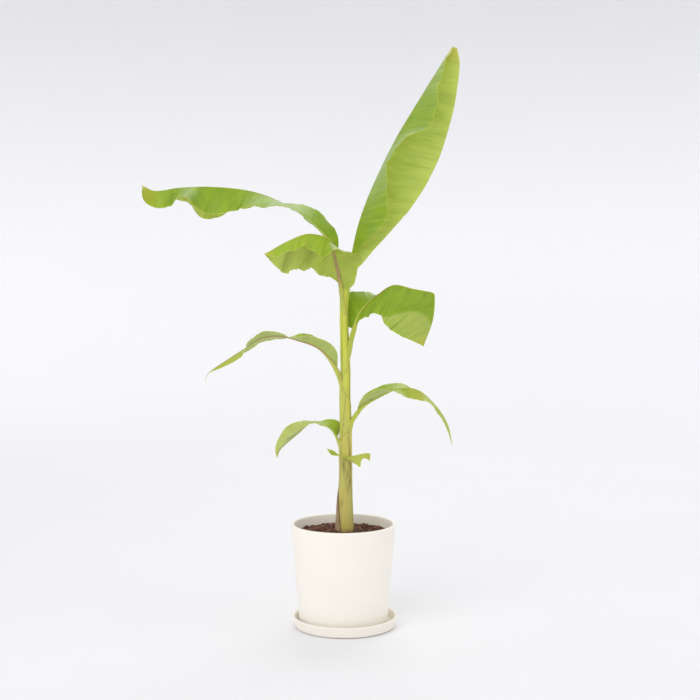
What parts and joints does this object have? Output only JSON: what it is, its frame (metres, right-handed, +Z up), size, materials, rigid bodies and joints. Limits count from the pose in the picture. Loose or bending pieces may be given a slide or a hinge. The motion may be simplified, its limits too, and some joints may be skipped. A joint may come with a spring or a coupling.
{
  "type": "potted banana plant",
  "caption": "Young banana plant with a slim pseudostem and arching, wavy-edged leaves, growing in a plain round planter on a matching saucer.",
  "frame": {"origin": "on the floor, at the middle of the planter, in the flat underside of the saucer", "axes": "+Z up along the pseudostem, -Y towards the front of the plant, +X to the right of the front view"},
  "size_m": [0.5972, 0.3228, 1.1041],
  "materials": {
    "leaf_blade": "satin, slightly waxy",
    "leaf_stalk": "satin",
    "pseudostem": "satin",
    "dry_sheath": "matte and fibrous",
    "potting_mix": "coarse bark chips",
    "planter": "matte glaze"
  },
  "bodies": {
    "root": {"leaf_1_blade_inner": "leaf_blade", "leaf_1_blade_outer": "leaf_blade", "leaf_1_petiole": "leaf_stalk", "leaf_2_blade_inner": "leaf_blade", "leaf_2_blade_middle": "leaf_blade", "leaf_2_blade_outer": "leaf_blade", "leaf_2_petiole": "leaf_stalk", "leaf_3_blade_inner": "leaf_blade", "leaf_3_blade_outer": "leaf_blade", "leaf_3_petiole": "leaf_stalk", "leaf_4_blade_inner": "leaf_blade", "leaf_4_blade_middle": "leaf_blade", "leaf_4_blade_outer": "leaf_blade", "leaf_4_petiole": "leaf_stalk", "leaf_5_blade_inner": "leaf_blade", "leaf_5_blade_outer": "leaf_blade", "leaf_5_petiole": "leaf_stalk", "leaf_6_blade_inner": "leaf_blade", "leaf_6_blade_outer": "leaf_blade", "leaf_6_petiole": "leaf_stalk", "leaf_7_blade_inner": "leaf_blade", "leaf_7_blade_outer": "leaf_blade", "leaf_7_petiole": "leaf_stalk", "leaf_8_blade": "leaf_blade", "old_sheath": "dry_sheath", "pot": "planter", "pseudostem": "pseudostem", "saucer": "planter", "soil": "potting_mix"}
  },
  "joints": []
}
